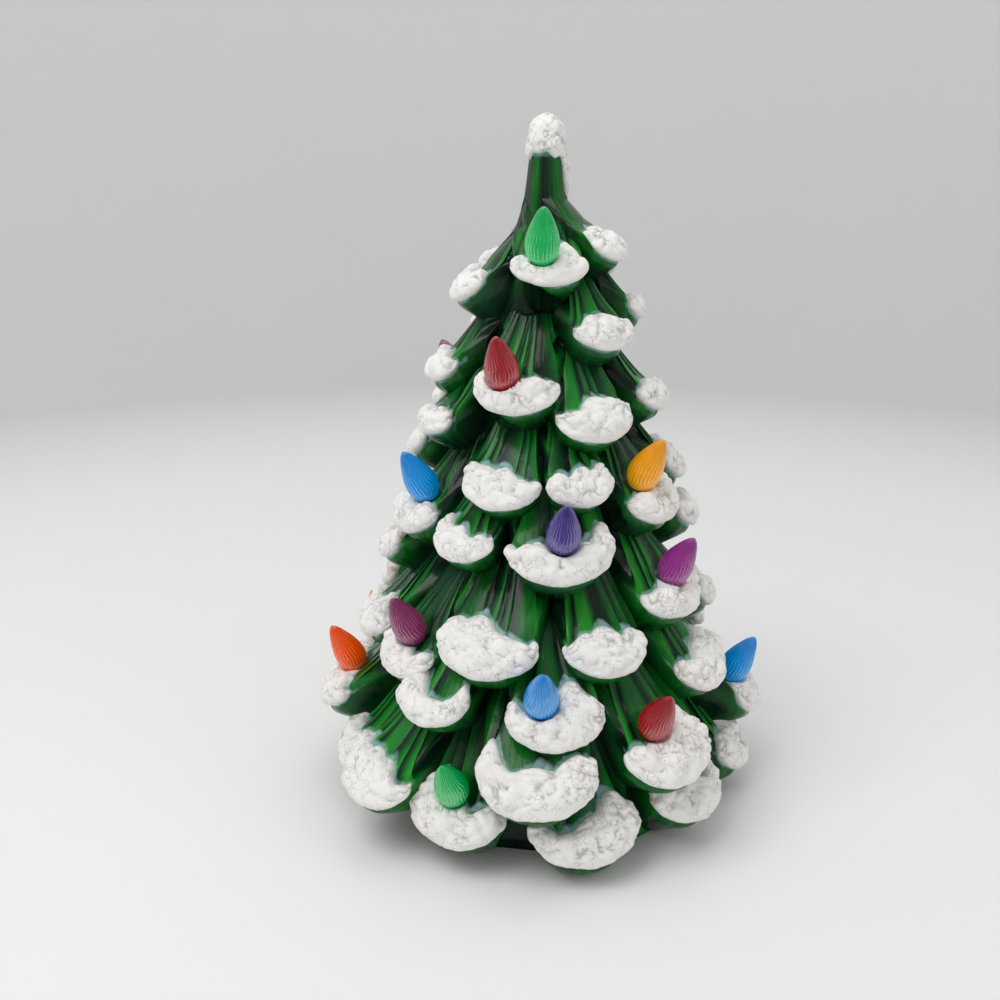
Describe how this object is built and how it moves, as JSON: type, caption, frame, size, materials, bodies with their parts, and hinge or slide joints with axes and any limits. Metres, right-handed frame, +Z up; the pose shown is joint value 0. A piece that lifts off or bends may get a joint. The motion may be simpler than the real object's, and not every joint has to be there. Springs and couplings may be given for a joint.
{
  "type": "ceramic christmas tree",
  "caption": "Hollow glazed ceramic tabletop christmas tree with drooping snow-tipped branches and coloured flame bulbs that pull out of peg holes.",
  "frame": {"origin": "centre of the round base opening, on the plane that the foot ring stands on", "axes": "+Z up the tree to its peak, -Y towards the front as pictured, +X to the right"},
  "size_m": [0.1954, 0.1941, 0.28],
  "materials": {
    "green_glaze": "glossy translucent green glaze, dark where it pools",
    "snow": "matte, lumpy and cracked white crust",
    "bulb_green": "clear tinted plastic",
    "bulb_red": "clear tinted plastic",
    "bulb_amber": "clear tinted plastic",
    "bulb_magenta": "clear tinted plastic",
    "bulb_blue": "clear tinted plastic",
    "bulb_purple": "clear tinted plastic",
    "bulb_mauve": "clear tinted plastic",
    "bulb_orange": "clear tinted plastic"
  },
  "bodies": {
    "tree": {"tree_shell": "green_glaze", "top_snow_cap": "snow", "snow_row_1": "snow", "snow_row_2": "snow", "snow_row_3": "snow", "snow_row_4": "snow", "snow_row_5": "snow", "snow_row_6": "snow", "snow_row_7": "snow", "snow_row_8": "snow", "snow_row_9": "snow"},
    "bulb_01_green": {"bulb_01_green": "bulb_green"},
    "bulb_02_red": {"bulb_02_red": "bulb_red"},
    "bulb_03_amber": {"bulb_03_amber": "bulb_amber"},
    "bulb_04_magenta": {"bulb_04_magenta": "bulb_magenta"},
    "bulb_05_blue": {"bulb_05_blue": "bulb_blue"},
    "bulb_06_amber": {"bulb_06_amber": "bulb_amber"},
    "bulb_07_green": {"bulb_07_green": "bulb_green"},
    "bulb_08_purple": {"bulb_08_purple": "bulb_purple"},
    "bulb_09_blue": {"bulb_09_blue": "bulb_blue"},
    "bulb_10_red": {"bulb_10_red": "bulb_red"},
    "bulb_11_magenta": {"bulb_11_magenta": "bulb_magenta"},
    "bulb_12_mauve": {"bulb_12_mauve": "bulb_mauve"},
    "bulb_13_orange": {"bulb_13_orange": "bulb_orange"},
    "bulb_14_blue": {"bulb_14_blue": "bulb_blue"},
    "bulb_15_green": {"bulb_15_green": "bulb_green"},
    "bulb_16_orange": {"bulb_16_orange": "bulb_orange"},
    "bulb_17_red": {"bulb_17_red": "bulb_red"},
    "bulb_18_blue": {"bulb_18_blue": "bulb_blue"},
    "bulb_19_amber": {"bulb_19_amber": "bulb_amber"},
    "bulb_20_purple": {"bulb_20_purple": "bulb_purple"},
    "bulb_21_green": {"bulb_21_green": "bulb_green"},
    "bulb_22_magenta": {"bulb_22_magenta": "bulb_magenta"}
  },
  "joints": [
    {"name": "bulb_01_green_pull", "type": "slide", "parent": "tree", "child": "bulb_01_green", "axis": [0.0087, -0.4999, 0.866], "range_m": [0, 0.02]},
    {"name": "bulb_02_red_pull", "type": "slide", "parent": "tree", "child": "bulb_02_red", "axis": [-0.1462, -0.4782, 0.866], "range_m": [0, 0.02]},
    {"name": "bulb_03_amber_pull", "type": "slide", "parent": "tree", "child": "bulb_03_amber", "axis": [0.2113, 0.4532, 0.866], "range_m": [0, 0.02]},
    {"name": "bulb_04_magenta_pull", "type": "slide", "parent": "tree", "child": "bulb_04_magenta", "axis": [-0.394, 0.3078, 0.866], "range_m": [0, 0.02]},
    {"name": "bulb_05_blue_pull", "type": "slide", "parent": "tree", "child": "bulb_05_blue", "axis": [-0.4532, -0.2113, 0.866], "range_m": [0, 0.02]},
    {"name": "bulb_06_amber_pull", "type": "slide", "parent": "tree", "child": "bulb_06_amber", "axis": [0.383, -0.3214, 0.866], "range_m": [0, 0.02]},
    {"name": "bulb_07_green_pull", "type": "slide", "parent": "tree", "child": "bulb_07_green", "axis": [0.2868, 0.4096, 0.866], "range_m": [0, 0.02]},
    {"name": "bulb_08_purple_pull", "type": "slide", "parent": "tree", "child": "bulb_08_purple", "axis": [0.0436, -0.4981, 0.866], "range_m": [0, 0.02]},
    {"name": "bulb_09_blue_pull", "type": "slide", "parent": "tree", "child": "bulb_09_blue", "axis": [0.4096, 0.2868, 0.866], "range_m": [0, 0.02]},
    {"name": "bulb_10_red_pull", "type": "slide", "parent": "tree", "child": "bulb_10_red", "axis": [-0.3214, 0.383, 0.866], "range_m": [0, 0.02]},
    {"name": "bulb_11_magenta_pull", "type": "slide", "parent": "tree", "child": "bulb_11_magenta", "axis": [0.383, -0.3214, 0.866], "range_m": [0, 0.02]},
    {"name": "bulb_12_mauve_pull", "type": "slide", "parent": "tree", "child": "bulb_12_mauve", "axis": [-0.383, -0.3214, 0.866], "range_m": [0, 0.02]},
    {"name": "bulb_13_orange_pull", "type": "slide", "parent": "tree", "child": "bulb_13_orange", "axis": [-0.1294, 0.483, 0.866], "range_m": [0, 0.02]},
    {"name": "bulb_14_blue_pull", "type": "slide", "parent": "tree", "child": "bulb_14_blue", "axis": [0.0175, -0.4997, 0.866], "range_m": [0, 0.02]},
    {"name": "bulb_15_green_pull", "type": "slide", "parent": "tree", "child": "bulb_15_green", "axis": [0.433, 0.25, 0.866], "range_m": [0, 0.02]},
    {"name": "bulb_16_orange_pull", "type": "slide", "parent": "tree", "child": "bulb_16_orange", "axis": [-0.4997, -0.0175, 0.866], "range_m": [0, 0.02]},
    {"name": "bulb_17_red_pull", "type": "slide", "parent": "tree", "child": "bulb_17_red", "axis": [0.2723, -0.4193, 0.866], "range_m": [0, 0.02]},
    {"name": "bulb_18_blue_pull", "type": "slide", "parent": "tree", "child": "bulb_18_blue", "axis": [0.4997, -0.0175, 0.866], "range_m": [0, 0.02]},
    {"name": "bulb_19_amber_pull", "type": "slide", "parent": "tree", "child": "bulb_19_amber", "axis": [-0.424, 0.265, 0.866], "range_m": [0, 0.02]},
    {"name": "bulb_20_purple_pull", "type": "slide", "parent": "tree", "child": "bulb_20_purple", "axis": [0.3214, 0.383, 0.866], "range_m": [0, 0.02]},
    {"name": "bulb_21_green_pull", "type": "slide", "parent": "tree", "child": "bulb_21_green", "axis": [-0.2113, -0.4532, 0.866], "range_m": [0, 0.02]},
    {"name": "bulb_22_magenta_pull", "type": "slide", "parent": "tree", "child": "bulb_22_magenta", "axis": [0.4494, 0.2192, 0.866], "range_m": [0, 0.02]}
  ]
}
